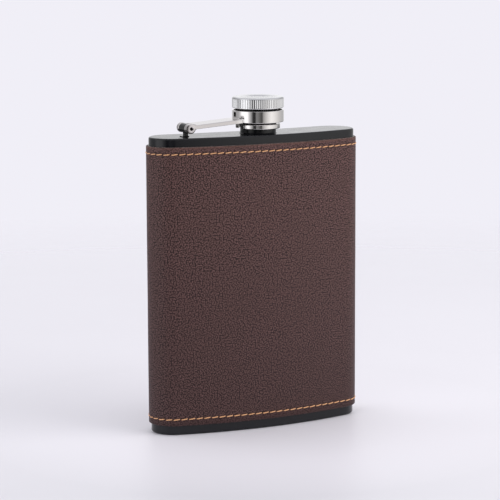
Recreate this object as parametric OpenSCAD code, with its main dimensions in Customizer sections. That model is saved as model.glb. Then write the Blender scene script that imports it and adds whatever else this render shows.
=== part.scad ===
// Leather-wrapped hip flask with a captive screw cap on a hinged arm.
// Millimetres, +Z up. The flask stands on z = 0 with its convex front towards -Y.
// The origin is the middle of the base's bounding box.

/* [Body] */
// Width of the steel body
body_w = 96; // [90:0.5:100]
// Height of the steel body, without the neck
body_h = 127; // [110:1:140]
// Radius of the two rounded narrow sides
side_r = 9.7; // [8:0.1:11]
// How far the front bulges out past the narrow sides
front_bulge = 4.5; // [2:0.1:6]
// How far the back curves in, to sit on the hip
back_hollow = 2.2; // [1:0.1:4]
// Thickness of the body's sheet steel
wall = 0.5; // [0.4:0.05:0.8]
// Height of the pressed end pans' skirts
pan_h = 5.2; // [4:0.1:8]
// Outer edge radius of the end pans
pan_edge_r = 0.8; // [0.4:0.1:1.5]

/* [Leather wrap] */
// Thickness of the leather
leather_t = 0.6; // [0.4:0.05:1]
// Thickness of the felt lining under the leather
lining_t = 0.35; // [0.2:0.05:0.5]
// Thickness of the adhesive film under the lining
film_t = 0.12; // [0.08:0.01:0.2]
// Black steel left bare under the wrap and above it
bare_band = 4.1; // [3:0.1:5]
// Gap of the butt seam in the middle of the back
seam_gap = 0.3; // [0.1:0.1:1]
// Distance from the wrap's edge to its stitch row
hem = 2.9; // [2:0.1:4]
// Length from one stitch to the next
stitch_pitch = 3.35; // [2.5:0.05:5]
// Radius of the sewing thread
thread_r = 0.27; // [0.2:0.01:0.4]

/* [Neck and cap] */
// Sideways offset of the neck from the middle of the body
neck_x = 0.9; // [-2:0.1:2]
// Outer radius of the neck's collar
neck_r = 7.7; // [7.5:0.05:7.7]
// Radius of the neck's bore
neck_bore_r = 6; // [5.6:0.05:6]
// Height of the neck above the top pan
neck_h = 9.6; // [9.4:0.1:9.6]
// Pitch of the screw thread
thread_pitch = 1.9; // [1.6:0.1:2]
// Outer radius of the knurled cap
cap_r = 11.1; // [10.9:0.05:11.2]
// Height of the cap's top above the top pan
cap_top = 15.5; // [15.2:0.1:17]
// Number of ridges round the cap
knurls = 80; // [60:1:90]

/* [Arm and hinge] */
// Distance from the cap's axis to the hinge pin
arm_reach = 33.9; // [31:0.1:36]
// Height of the hinge pin above the top pan
pin_z = 3.6; // [3.4:0.1:3.8]
// Radius of the hinge pin's shank
pin_r = 1.2; // [1:0.05:1.3]
// Outer radius of the hinge post's barrel
barrel_r = 1.95; // [1.8:0.05:2]
// Outer radius of the arm's ring
ring_r = 11.1; // [10.9:0.05:11.1]
// Thickness of the arm's sheet steel
arm_t = 0.7; // [0.6:0.05:0.8]
// Upward slope of the arm from the hinge to the ring, in degrees
arm_slope = 4; // [3:0.5:5]

/* [Hidden] */
$fn = 96;
eps = 0.01;

// The section is a kidney of four arcs: a convex front, a concave back and two round sides.
side_x = body_w / 2 - side_r;                    // side arc's centre is side_x from the middle
front_c = (side_x ^ 2 - front_bulge ^ 2) / (2 * front_bulge);
front_r = front_c + side_r + front_bulge;
back_c = (side_x ^ 2 - back_hollow ^ 2) / (2 * back_hollow);
back_r = back_c - side_r + back_hollow;
front_a = atan2(side_x, front_c);                // half angle of the front arc
back_a = atan2(side_x, back_c);                  // half angle of the back arc
section_y = front_bulge / 2;                     // centres the section's bounding box
wrap_t = film_t + lining_t + leather_t;
wrap_low = bare_band;
wrap_high = body_h - bare_band + 0.4;            // the upper bare band is a little lower
side_steps = 22;
long_steps = 20;

neck_y = section_y - (front_bulge + back_hollow) / 2;
hinge_x = neck_x - arm_reach;

// Heights above the top pan
collar_top = 2.3;
sleeve_low = 2.45;
clip_low = 2.1;                                  // the retaining ring's lower face
clip_high = 4.2;
groove_z = 3.35;                                 // middle of the insert's groove and the ring's rib
ring_low = 4.9;
ring_high = 9.95;
shell_low = 10.85;
plug_low = 11.1;                                 // underside of the insert's closed top
plug_high = 11.7;
seal_low = neck_h + 0.06;

sleeve_r = 7.8;                                  // outside of the insert's sleeve
female_root_r = 7.3;
female_crest_r = 7.1;                            // clears the neck's thread while the arm swings
male_crest_r = 6.75;
male_root_r = 6.4;
clip_in = 7.9;                                   // inside of the retaining ring
clip_out = 9.55;
clip_edge_r = 0.4;
clip_open = 48;                                  // angle of its opening, which faces the hinge

barrel_l = 5;
barrel_y = 0.5;                                  // the barrel's middle is a little behind the arm's
boss_gap = 0.12;                                 // play between the barrel and the ears' bosses
ear_out = 5.2;                                   // outer face of an ear
ear_r = 2.05;
arm_out = 5.3;                                   // half width of the arm where it meets the ring
web_top = 1.35;                                  // height of the arm's web over the pin's axis
channel_h = 1.7;

// A point of each arc of the section, grown outwards by g, at an angle a
function front_pt(a, g) = [(front_r + g) * sin(a), section_y + front_c - (front_r + g) * cos(a)];
function back_pt(a, g) = [(back_r - g) * sin(a), section_y + back_c - (back_r - g) * cos(a)];
function side_pt(a, g) = [side_x + (side_r + g) * cos(a), section_y + (side_r + g) * sin(a)];
function mirrored(p) = [-p.x, p.y];
side_a0 = front_a - 90;
side_a1 = back_a + 90;
function steps(from, to, n) = [for (i = [0:n - 1]) from + (to - from) * i / n];

// Closed outline of the section, grown outwards by g
function outline(g) = concat(
    [for (a = steps(-front_a, front_a, long_steps)) front_pt(a, g)],
    [for (a = steps(side_a0, side_a1, side_steps)) side_pt(a, g)],
    [for (a = steps(back_a, -back_a, long_steps)) back_pt(a, g)],
    [for (a = steps(side_a1, side_a0, side_steps)) mirrored(side_pt(a, g))]);

// Solid between two outlines, from z0 to z1
module sleeve(g_in, g_out, z0, z1) {
    translate([0, 0, z0])
        linear_extrude(z1 - z0)
            difference() {
                polygon(outline(g_out));
                polygon(outline(g_in));
            }
}

// Skin over a stack of outlines, each given as [growth, height], closed at both ends
module skin(levels) {
    n = len(outline(0));
    last = len(levels) - 1;
    points = [for (l = levels) for (p = outline(l[0])) [p.x, p.y, l[1]]];
    sides = [for (k = [0:last - 1]) for (i = [0:n - 1])
        [k * n + i, k * n + (i + 1) % n, (k + 1) * n + (i + 1) % n, (k + 1) * n + i]];
    first_cap = [for (i = [0:n - 1]) i];
    last_cap = [for (i = [n - 1:-1:0]) last * n + i];
    polyhedron(points, concat([first_cap], [last_cap], [for (s = sides) [s[3], s[2], s[1], s[0]]]), 4);
}

// Pressed end pan with its flat at z = 0 and its skirt rising to z = pan_h
module pan() {
    inner_r = pan_edge_r - wall;
    outer = [for (a = [90:-30:0])
        [-pan_edge_r + pan_edge_r * cos(a), pan_edge_r - pan_edge_r * sin(a)]];
    inner = [for (a = [0:45:90])
        [-pan_edge_r + inner_r * cos(a), pan_edge_r - inner_r * sin(a)]];
    skin(concat(outer, [[0, pan_h], [-wall, pan_h]], inner));
}

module body_tube() {
    color("#1c1c1e")
        sleeve(-wall, 0, pan_h, body_h - pan_h);
}

module bottom_pan() {
    color("#1c1c1e")
        pan();
}

module top_pan() {
    color("#1c1c1e")
        difference() {
            translate([0, 0, body_h])
                mirror([0, 0, 1])
                    pan();
            translate([neck_x, neck_y, body_h - 2])
                cylinder(r = neck_r + eps, h = 4);
        }
}

// Moves children to the neck's axis, on top of the top pan
module on_neck() {
    translate([neck_x, neck_y, body_h])
        children();
}

// One helical ridge with a trapezoid section, from radius r0 to its crest at r1, fading in and out
module thread_ridge(r0, r1, z0, turns) {
    per_turn = 32;
    n = round(turns * per_turn);
    fade = 6;
    base_h = 1.1;
    crest_h = 0.4;
    function rise(i) = min(1, i / fade, (n - i) / fade);
    rows = [for (i = [0:n])
        let (a = 360 * i / per_turn, z = z0 + thread_pitch * i / per_turn,
             r = r0 + (r1 - r0) * (0.3 + 0.7 * rise(i)))
        [[r0 * cos(a), r0 * sin(a), z - base_h / 2], [r * cos(a), r * sin(a), z - crest_h / 2],
         [r * cos(a), r * sin(a), z + crest_h / 2], [r0 * cos(a), r0 * sin(a), z + base_h / 2]]];
    points = [for (row = rows) for (p = row) p];
    sides = [for (i = [0:n - 1]) for (k = [0:3])
        [4 * i + k, 4 * i + (k + 1) % 4, 4 * i + 4 + (k + 1) % 4, 4 * i + 4 + k]];
    faces = concat([[3, 2, 1, 0]], [[4 * n, 4 * n + 1, 4 * n + 2, 4 * n + 3]], sides);
    outward = r1 > r0;
    polyhedron(points, outward ? faces : [for (f = faces) [for (i = [len(f) - 1:-1:0]) f[i]]], 4);
}

// Threaded spout, with a foot flange welded under the top pan
module neck() {
    foot_r = 9.3;
    foot_h = 0.6;
    color("#1c1c1e")
        on_neck() {
            difference() {
                union() {
                    translate([0, 0, -wall - foot_h])
                        cylinder(r = foot_r, h = foot_h);
                    translate([0, 0, -wall - foot_h])
                        cylinder(r = neck_r, h = wall + foot_h + collar_top);
                    translate([0, 0, collar_top])
                        cylinder(r = male_root_r, h = neck_h - collar_top);
                }
                translate([0, 0, -2])
                    cylinder(r = neck_bore_r, h = neck_h + 4);
            }
            thread_ridge(male_root_r - 0.05, male_crest_r, collar_top + 1.2, 2);
        }
}

// Hinge post: a barrel for the pin, on a stem welded to the top pan
module hinge_post() {
    stem = [1.4, 2.6];
    foot = [3.2, 3.4, 0.3];
    foot_x = -0.5;                               // it reaches further out than in
    color("#1c1c1e")
        translate([hinge_x, neck_y + barrel_y, body_h])
            difference() {
                union() {
                    translate([0, barrel_l / 2, pin_z])
                        rotate([90, 0, 0])
                            cylinder(r = barrel_r, h = barrel_l);
                    translate([-stem.x / 2, -stem.y / 2, 0])
                        cube([stem.x, stem.y, pin_z]);
                    translate([foot_x - foot.x / 2, -foot.y / 2, 0])
                        cube(foot);
                }
                translate([0, barrel_l, pin_z])
                    rotate([90, 0, 0])
                        cylinder(r = pin_r + 0.06, h = 2 * barrel_l);
            }
}

module adhesive_film() {
    color("#d8d4c4")
        sleeve(0, film_t, wrap_low, wrap_high);
}

module wrap_lining() {
    color("#2a211d")
        sleeve(film_t, film_t + lining_t, wrap_low, wrap_high);
}

module leather_wrap() {
    color("#4a342e")
        difference() {
            sleeve(wrap_t - leather_t, wrap_t, wrap_low, wrap_high);
            translate([-seam_gap / 2, section_y, wrap_low - 1])
                cube([seam_gap, 2 * side_r, body_h]);
        }
}

// One stitch of a horizontal row, centred at p and lying along the heading, in degrees
module stitch(p, heading, z) {
    stitch_l = 0.8 * stitch_pitch;
    translate([p.x, p.y, z])
        rotate([0, 0, heading])
            rotate([0, 90, 0])
                cylinder(r = thread_r, h = stitch_l, center = true, $fn = 16);
}

// Stitches all round the wrap at height z
module stitch_row(z) {
    g = wrap_t + thread_r + eps;
    function count(r, span) = 2 * round(r * span * PI / 180 / stitch_pitch / 2);
    n_front = count(front_r + g, 2 * front_a);
    n_back = count(back_r - g, 2 * back_a);
    n_side = count(side_r + g, side_a1 - side_a0);
    for (i = [0:n_front - 1]) {
        a = -front_a + 2 * front_a * (i + 0.5) / n_front;
        stitch(front_pt(a, g), a, z);
    }
    for (i = [0:n_back - 1]) {
        a = -back_a + 2 * back_a * (i + 0.5) / n_back;
        stitch(back_pt(a, g), a, z);
    }
    for (i = [0:n_side - 1]) {
        a = side_a0 + (side_a1 - side_a0) * (i + 0.5) / n_side;
        stitch(side_pt(a, g), a + 90, z);
        stitch(mirrored(side_pt(a, g)), 90 - a, z);
    }
}

module top_stitching() {
    color("#d98a3d")
        stitch_row(wrap_high - hem);
}

module bottom_stitching() {
    color("#d98a3d")
        stitch_row(wrap_low + hem);
}

// Two upright rows, one on each side of the back seam
module seam_stitching() {
    row_x = seam_gap / 2 + 2.6;
    stitch_l = 0.8 * stitch_pitch;
    span = wrap_high - wrap_low - 2 * hem;
    n = floor(span / stitch_pitch) - 1;
    a = asin(row_x / back_r);
    p = back_pt(a, wrap_t + thread_r + 0.02);
    color("#d98a3d")
        for (side = [-1, 1])
            for (i = [0:n - 1])
                translate([side * p.x, p.y, wrap_low + hem + span * (i + 1) / (n + 1) - stitch_l / 2])
                    cylinder(r = thread_r, h = stitch_l, $fn = 16);
}

// Moves children to the hinge pin's axis, tilted with the arm
module on_arm() {
    translate([hinge_x, neck_y, body_h + pin_z])
        rotate([0, -arm_slope, 0])
            children();
}

// A bar along the hinge pin, from y0 to y1
module along_pin(r, y0, y1) {
    translate([0, y1, 0])
        rotate([90, 0, 0])
            cylinder(r = r, h = y1 - y0, $fn = 48);
}

// The arm's outline seen from above, from the hinge to inside the ring, inset by t
module arm_plan(t, from) {
    to = arm_reach - ring_r + 1.4;
    half0 = ear_out - t;
    half1 = arm_out - t;
    polygon([[from, -half0], [6, -half0], [to, -half1], [to, half1], [6, half0], [from, half0]]);
}

// Channel that joins the ring to the two ears at the hinge, each with a boss that reaches the barrel
module arm_channel() {
    web_from = 3;
    on_arm() {
        difference() {
            translate([0, 0, web_top - channel_h])
                linear_extrude(channel_h)
                    arm_plan(0, 0);
            translate([0, 0, web_top - channel_h - 1])
                linear_extrude(channel_h + 1 - arm_t)
                    arm_plan(arm_t, -1);
            translate([-1, -ear_out + arm_t, -1])
                cube([web_from + 1, 2 * (ear_out - arm_t), 4]);
        }
        along_pin(ear_r, -ear_out, barrel_y - barrel_l / 2 - boss_gap);
        along_pin(ear_r, barrel_y + barrel_l / 2 + boss_gap, ear_out);
    }
}

// Shallow drawn cup that the cap turns in, with a window in its wall over the arm
// and a relief notch at each side of the arm
module arm_ring() {
    hole_r = sleeve_r + 0.08;
    notch = [2.9, 2.3, 0.32];
    notch_y = 3.3;
    notch_z = 6.78;
    window = [1.6, 2, 2.15];
    window_z = 7.2;
    difference() {
        translate([0, 0, ring_low])
            cylinder(r = ring_r, h = ring_high - ring_low);
        translate([0, 0, ring_low + arm_t])
            cylinder(r = ring_r - arm_t, h = ring_high);
        cylinder(r = hole_r, h = ring_high);
        for (y = [-notch_y - notch.y, notch_y])
            translate([-ring_r - 0.5, y, notch_z])
                cube(notch);
        translate([-ring_r - 0.5, -window.y / 2, window_z])
            cube(window);
    }
}

module arm_bracket() {
    color("#c9c6c1")
        difference() {
            union() {
                difference() {
                    arm_channel();
                    on_neck()
                        cylinder(r = ring_r - arm_t / 2, h = 20);
                }
                on_neck()
                    arm_ring();
            }
            on_arm()
                along_pin(pin_r + 0.02, -2 * ear_out, 2 * ear_out);
        }
}

// Tubular rivet through both ears and the barrel
module hinge_pin() {
    head_r = 1.65;
    head_t = 0.5;
    tail_r = 1.7;
    tail_t = 0.5;
    bore_r = 0.65;
    color("#c9c6c1")
        on_arm()
            difference() {
                union() {
                    along_pin(pin_r, -ear_out - head_t, ear_out + tail_t);
                    along_pin(head_r, -ear_out - head_t, -ear_out - eps);
                    along_pin(tail_r, ear_out + eps, ear_out + tail_t);
                }
                along_pin(bore_r, -2 * ear_out, 2 * ear_out);
            }
}

// Knurled outer shell, crimped round the insert's closed top
module cap_shell() {
    shell_t = 0.6;
    groove = 0.22;
    dome = 0.2;
    edge_r = 0.7;
    lip_r = 9.9;
    knurl_low = shell_low + 0.4;
    knurl_high = cap_top - edge_r;
    ridges = [for (i = [0:2 * knurls - 1])
        let (r = i % 2 == 0 ? cap_r : cap_r - groove, a = 180 * i / knurls)
        [r * cos(a), r * sin(a)]];
    core_r = cap_r - groove + 0.02;
    outline = [[0, shell_low], [core_r, shell_low], [core_r, knurl_high],
               [core_r - edge_r, cap_top], [core_r - edge_r, cap_top + dome], [0, cap_top + dome]];
    color("#d2cfca")
        on_neck()
            difference() {
                union() {
                    translate([0, 0, knurl_low])
                        linear_extrude(knurl_high - knurl_low - 0.05)
                            polygon(ridges);
                    rotate_extrude()
                        polygon(outline);
                }
                translate([0, 0, plug_low - eps])
                    cylinder(r = cap_r - groove - shell_t, h = cap_top - shell_t - plug_low);
                translate([0, 0, shell_low - 1])
                    cylinder(r = lip_r, h = 2);
            }
}

module cap_insert() {
    top_r = 10.1;
    groove_r = 7.62;
    groove_h = 0.7;
    profile = [[female_root_r, sleeve_low], [sleeve_r, sleeve_low], [sleeve_r, groove_z - groove_h / 2],
               [groove_r, groove_z - groove_h / 2], [groove_r, groove_z + groove_h / 2],
               [sleeve_r, groove_z + groove_h / 2], [sleeve_r, plug_low], [top_r, plug_low],
               [top_r, plug_high], [0, plug_high], [0, plug_low], [female_root_r, plug_low]];
    color("#17171a")
        on_neck() {
            rotate_extrude()
                polygon(profile);
            thread_ridge(female_root_r + 0.05, female_crest_r, sleeve_low + 0.95, 2.6);
        }
}

// Split ring of tube whose inner rib sits in the insert's groove, which keeps the arm on the cap
module retaining_ring() {
    w = clip_out - clip_in;
    h = clip_high - clip_low;
    e = clip_edge_r;
    rib = [0.5, 0.6];
    rib_r = 7.68;
    hollow = [8.95, 2.72];
    hollow_r = 0.34;
    hollow_rise = 0.16;
    color("#c9c6c1")
        on_neck()
            rotate([0, 0, 180 + clip_open / 2])
                rotate_extrude(angle = 360 - clip_open)
                    difference() {
                        union() {
                            translate([clip_in, clip_low + e])
                                square([w, h - 2 * e]);
                            translate([clip_in + e, clip_low])
                                square([w - 2 * e, h]);
                            for (x = [clip_in + e, clip_out - e])
                                for (z = [clip_low + e, clip_high - e])
                                    translate([x, z])
                                        circle(r = e);
                            translate([rib_r, groove_z - rib.y / 2])
                                square(rib);
                        }
                        translate([hollow.x - hollow_r, hollow.y - hollow_rise])
                            square([2 * hollow_r, 2 * hollow_rise]);
                        for (z = [-hollow_rise, hollow_rise])
                            translate([hollow.x, hollow.y + z])
                                circle(r = hollow_r);
                    }
}

module cap_seal() {
    color("#e9e7e1")
        on_neck()
            translate([0, 0, seal_low])
                cylinder(r = female_root_r - 0.3, h = plug_low - seal_low - eps);
}

body_tube();
top_pan();
bottom_pan();
neck();
hinge_post();
adhesive_film();
wrap_lining();
leather_wrap();
top_stitching();
bottom_stitching();
seam_stitching();
arm_bracket();
hinge_pin();
cap_shell();
cap_insert();
retaining_ring();
cap_seal();
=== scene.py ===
import math

import bpy
import numpy as np
from mathutils import Matrix, Vector


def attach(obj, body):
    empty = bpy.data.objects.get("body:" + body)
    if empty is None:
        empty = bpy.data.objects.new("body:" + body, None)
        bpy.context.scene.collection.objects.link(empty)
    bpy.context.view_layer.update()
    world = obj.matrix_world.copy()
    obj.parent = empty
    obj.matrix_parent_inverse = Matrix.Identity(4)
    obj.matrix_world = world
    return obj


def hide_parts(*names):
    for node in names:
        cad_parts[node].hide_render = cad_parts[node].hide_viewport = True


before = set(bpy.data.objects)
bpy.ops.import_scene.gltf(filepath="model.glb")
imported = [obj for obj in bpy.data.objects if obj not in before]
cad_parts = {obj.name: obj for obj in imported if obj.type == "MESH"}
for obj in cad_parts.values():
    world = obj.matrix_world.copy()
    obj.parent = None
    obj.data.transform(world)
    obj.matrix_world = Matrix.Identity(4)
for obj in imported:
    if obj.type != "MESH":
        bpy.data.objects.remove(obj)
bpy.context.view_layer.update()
scene = bpy.context.scene
MM = 0.001

# ---------------------------------------------------------------- sizes in millimetres, as in the CAD
BODY_H = 127.0
SIDE_X, SIDE_R, SECTION_Y = 38.3, 9.7, 2.25     # centres of the two round sides
FRONT_RISE, BACK_RISE = 4.5, 2.2                # bulge of the front, hollow of the back
FRONT_C = (SIDE_X ** 2 - FRONT_RISE ** 2) / (2 * FRONT_RISE)
FRONT_R = FRONT_C + SIDE_R + FRONT_RISE
BACK_C = (SIDE_X ** 2 - BACK_RISE ** 2) / (2 * BACK_RISE)
BACK_R = BACK_C - SIDE_R + BACK_RISE
FRONT_A, BACK_A = math.atan2(SIDE_X, FRONT_C), math.atan2(SIDE_X, BACK_C)
WRAP_T, LEATHER_T, WALL = 1.07, 0.6, 0.5
WRAP_LOW, WRAP_HIGH = 4.1, 123.3
HEM, PITCH = 2.9, 3.35                          # stitch row to the wrap's edge, stitch to stitch
ROW_Z = (WRAP_LOW + HEM, WRAP_HIGH - HEM)
NECK = np.array([0.9, -1.1, BODY_H])
NECK_R = 7.7
THREAD_PITCH = 1.9
PIN = np.array([-33.9, 0.0, 3.6])               # from the neck's foot
SLOPE = math.radians(4.0)
RING_R, SHEET = 11.1, 0.7
RING_LOW, RING_HIGH, RING_HOLE_R = 4.9, 9.95, 7.9
EAR_OUT, ARM_OUT, BOSS_R = 5.2, 5.3, 2.05
ARM_TOP, ARM_SIDE = 1.35, 1.7                   # the channel's web above the pin, and its depth
BARREL, BARREL_R = (-2.0, 3.0), 1.95
BARREL_HOLE_R, ARM_HOLE_R = 1.26, 1.24
CAP_R, KNURLS = 11.1, 80
CAP_LOW, CAP_HIGH = 10.85, 15.6


# ---------------------------------------------------------------- mesh helpers
def piece(name, points, faces, material, body, node, normals=None):
    """A mesh from points in millimetres. It rides on a body and stands for a CAD node."""
    mesh = bpy.data.meshes.new(name)
    mesh.from_pydata((np.asarray(points, float) * MM).tolist(), [], [list(map(int, f)) for f in faces])
    mesh.update()
    mesh.polygons.foreach_set("use_smooth", [True] * len(mesh.polygons))
    if normals is not None:
        mesh.normals_split_custom_set_from_vertices(np.asarray(normals, float).tolist())
    mesh.materials.append(material)
    obj = bpy.data.objects.new(name, mesh)
    scene.collection.objects.link(obj)
    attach(obj, body)
    if node:
        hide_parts(node)
    return obj


def unit(v):
    return v / np.maximum(np.linalg.norm(v, axis=-1, keepdims=True), 1e-12)


def grid_faces(rows, cols, wrap_rows=False, wrap_cols=False, start=0):
    i, j = np.meshgrid(np.arange(rows if wrap_rows else rows - 1),
                       np.arange(cols if wrap_cols else cols - 1), indexing="ij")
    i, j = i.ravel(), j.ravel()
    i1, j1 = (i + 1) % rows, (j + 1) % cols
    return start + np.stack([i * cols + j, i * cols + j1, i1 * cols + j1, i1 * cols + j], 1)


def grid_normals(p, wrap_rows=False, wrap_cols=False):
    def slope(a, axis, wrap):
        if wrap:
            return np.roll(a, -1, axis) - np.roll(a, 1, axis)
        return np.gradient(a, axis=axis)
    return unit(np.cross(slope(p, 1, wrap_cols), slope(p, 0, wrap_rows)))


def rounded(corners, segments=5, closed=True):
    """Rounds a polyline of (u, v, radius) corners. Gives its points and the normals on its right."""
    n = len(corners)
    points, normals = [], []
    for k in range(n):
        p = np.array(corners[k][:2], float)
        if not closed and k in (0, n - 1):
            q = np.array(corners[1 if k == 0 else n - 2][:2], float)
            t = unit(q - p) if k == 0 else unit(p - q)
            points.append(p)
            normals.append((t[1], -t[0]))
            continue
        a, b = np.array(corners[k - 1][:2], float), np.array(corners[(k + 1) % n][:2], float)
        t0, t1 = unit(p - a), unit(b - p)
        turn = math.atan2(t0[0] * t1[1] - t0[1] * t1[0], float(np.dot(t0, t1)))
        r = max(corners[k][2], 1e-3)
        back = r * abs(math.tan(turn / 2))
        s = math.copysign(1.0, turn)
        centre = p - t0 * back + s * r * np.array([-t0[1], t0[0]])
        for m in range(segments + 1):
            a = turn * m / segments
            t = np.array([t0[0] * math.cos(a) - t0[1] * math.sin(a),
                          t0[0] * math.sin(a) + t0[1] * math.cos(a)])
            points.append(centre + s * r * np.array([t[1], -t[0]]))
            normals.append((t[1], -t[0]))
    return np.array(points), np.array(normals)


def lathe(corners, columns, segments=5, closed=True):
    """Turned shape about +Z from (radius, height, corner radius). Going up has its outside on the right."""
    p, n = rounded(corners, segments, closed)
    a = np.linspace(0, 2 * math.pi, columns, endpoint=False)
    c, s = np.cos(a), np.sin(a)
    r, z = np.maximum(p[:, :1], 1e-4), p[:, 1:]
    points = np.stack([r * c, r * s, z + 0 * c], -1)
    normals = np.stack([n[:, :1] * c, n[:, :1] * s, n[:, 1:] + 0 * c], -1)
    faces = grid_faces(len(p), columns, closed, True)
    return points.reshape(-1, 3), faces, normals.reshape(-1, 3)


def helix_ridge(root, crest, z0, pitch, turns, base=1.1, top=0.4, per_turn=96):
    """A screw thread's ridge, with its section rounded and its two ends run out."""
    n = int(turns * per_turn)
    step = np.arange(n + 1)
    a = 2 * math.pi * step / per_turn
    run_out = per_turn / 6
    fade = np.clip(np.minimum(step, n - step) / run_out, 0, 1)
    fade = 0.12 + 0.88 * np.sin(fade * math.pi / 2)
    out = np.array([-0.06, 0.45, 0.9, 1.0, 1.0, 0.9, 0.45, -0.06])
    up = np.array([-base / 2, -base * 0.36, -top * 0.75, -top / 2.4,
                   top / 2.4, top * 0.75, base * 0.36, base / 2])
    r = root + (crest - root) * out[None, :] * fade[:, None]
    z = z0 + pitch * step[:, None] / per_turn + up[None, :] * (0.4 + 0.6 * fade[:, None])
    p = np.stack([r * np.cos(a)[:, None], r * np.sin(a)[:, None], z], -1)
    k = len(out)
    faces = grid_faces(n + 1, k, False, True)
    if crest > root:
        faces = faces[:, ::-1]
    ends = [list(range(k)), list(range(n * k + k - 1, n * k - 1, -1))]
    if crest < root:
        ends = [e[::-1] for e in ends]
    normals = grid_normals(p, False, True) * (-1 if crest > root else 1)
    return p.reshape(-1, 3), [list(f) for f in faces] + ends, normals.reshape(-1, 3)


def way(p, face):
    """Where a face looks, from four corners spread round it."""
    k = len(face) // 4
    a, b, c, d = (p[face[j * k]] for j in range(4))
    return np.cross(c - a, d - b)


def join(*parts):
    """Several (points, faces, normals) as one."""
    points, faces, normals, start = [], [], [], 0
    for p, f, n in parts:
        points.append(p)
        normals.append(n)
        faces += [[int(v) + start for v in face] for face in f]
        start += len(p)
    return np.concatenate(points), faces, np.concatenate(normals)


# Distance fields, and the mesh of their zero surface
def both(a, b, r=0.0):
    """Intersection of two fields, with the shared edge rounded to radius r."""
    if r == 0:
        return np.maximum(a, b)
    return np.minimum(np.maximum(a, b), -r) + np.hypot(np.maximum(a + r, 0), np.maximum(b + r, 0))


def either(a, b, r=0.0):
    """Union of two fields, with the shared corner filleted to radius r."""
    if r == 0:
        return np.minimum(a, b)
    return np.maximum(np.minimum(a, b), r) - np.hypot(np.maximum(r - a, 0), np.maximum(r - b, 0))


def slab(v, lo, hi):
    """Field of the layer between lo and hi."""
    return np.maximum(lo - v, v - hi)


def field_mesh(field, lo, hi, cell):
    """The field's zero surface: a point in each cell that it passes through, then drawn onto it."""
    lo = np.array(lo, float)
    n = np.ceil((np.array(hi, float) - lo) / cell).astype(int) + 1
    grid = np.meshgrid(*[lo[k] + cell * np.arange(n[k]) for k in range(3)], indexing="ij")
    value = field(*grid)
    inside = value < 0
    corner = np.array([(i, j, k) for i in (0, 1) for j in (0, 1) for k in (0, 1)])
    count = sum(inside[i:n[0] - 1 + i, j:n[1] - 1 + j, k:n[2] - 1 + k].astype(np.int8)
                for i, j, k in corner)
    mixed = (count > 0) & (count < len(corner))
    cells = np.argwhere(mixed)
    index = np.full(mixed.shape, -1)
    index[mixed] = np.arange(len(cells))
    v = np.stack([value[tuple((cells + c).T)] for c in corner], 1)
    total, hits = np.zeros((len(cells), 3)), np.zeros((len(cells), 1))
    for a in range(len(corner)):
        for b in range(a + 1, len(corner)):
            if np.abs(corner[a] - corner[b]).sum() != 1:
                continue
            cross = (v[:, a] < 0) != (v[:, b] < 0)
            t = np.where(cross, v[:, a] / np.where(cross, v[:, a] - v[:, b], 1), 0)[:, None]
            total += np.where(cross[:, None], corner[a] + t * (corner[b] - corner[a]), 0)
            hits += cross[:, None]
    points = lo + cell * (cells + total / hits)
    faces = []
    for axis in range(3):
        u, w = (axis + 1) % 3, (axis + 2) % 3
        first = [slice(None)] * 3
        second = [slice(None)] * 3
        first[axis], second[axis] = slice(0, -1), slice(1, None)
        a, b = inside[tuple(first)], inside[tuple(second)]
        at = np.argwhere(a != b)
        at = at[(at[:, u] > 0) & (at[:, u] < n[u] - 1) & (at[:, w] > 0) & (at[:, w] < n[w] - 1)]
        du, dw = np.eye(3, dtype=int)[u], np.eye(3, dtype=int)[w]
        quad = np.stack([index[tuple((at - d).T)] for d in (du + dw, dw, 0 * du, du)], 1)
        flip = ~a[tuple(at.T)]
        quad[flip] = quad[flip][:, ::-1]
        faces.append(quad)

    def gradient(p, h=0.01):
        return np.stack([field(*(p + h * e).T) - field(*(p - h * e).T) for e in np.eye(3)], 1) / (2 * h)
    for _ in range(4):
        g = gradient(points)
        step = field(*points.T)[:, None] * g / np.maximum((g ** 2).sum(1, keepdims=True), 0.05)
        size = np.linalg.norm(step, axis=1, keepdims=True)
        points = points - step * np.minimum(1, 0.6 * cell / np.maximum(size, 1e-9))
    return points, np.concatenate(faces), unit(gradient(points))


# ---------------------------------------------------------------- the body's section
# side, first and last angle
ARCS = [("back", 0.0, -BACK_A), ("left", BACK_A + math.pi / 2, FRONT_A - math.pi / 2),
        ("front", -FRONT_A, FRONT_A), ("right", FRONT_A - math.pi / 2, BACK_A + math.pi / 2),
        ("back", BACK_A, 0.0)]
ARC_R = {"back": BACK_R - WRAP_T, "front": FRONT_R + WRAP_T,
         "left": SIDE_R + WRAP_T, "right": SIDE_R + WRAP_T}


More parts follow.
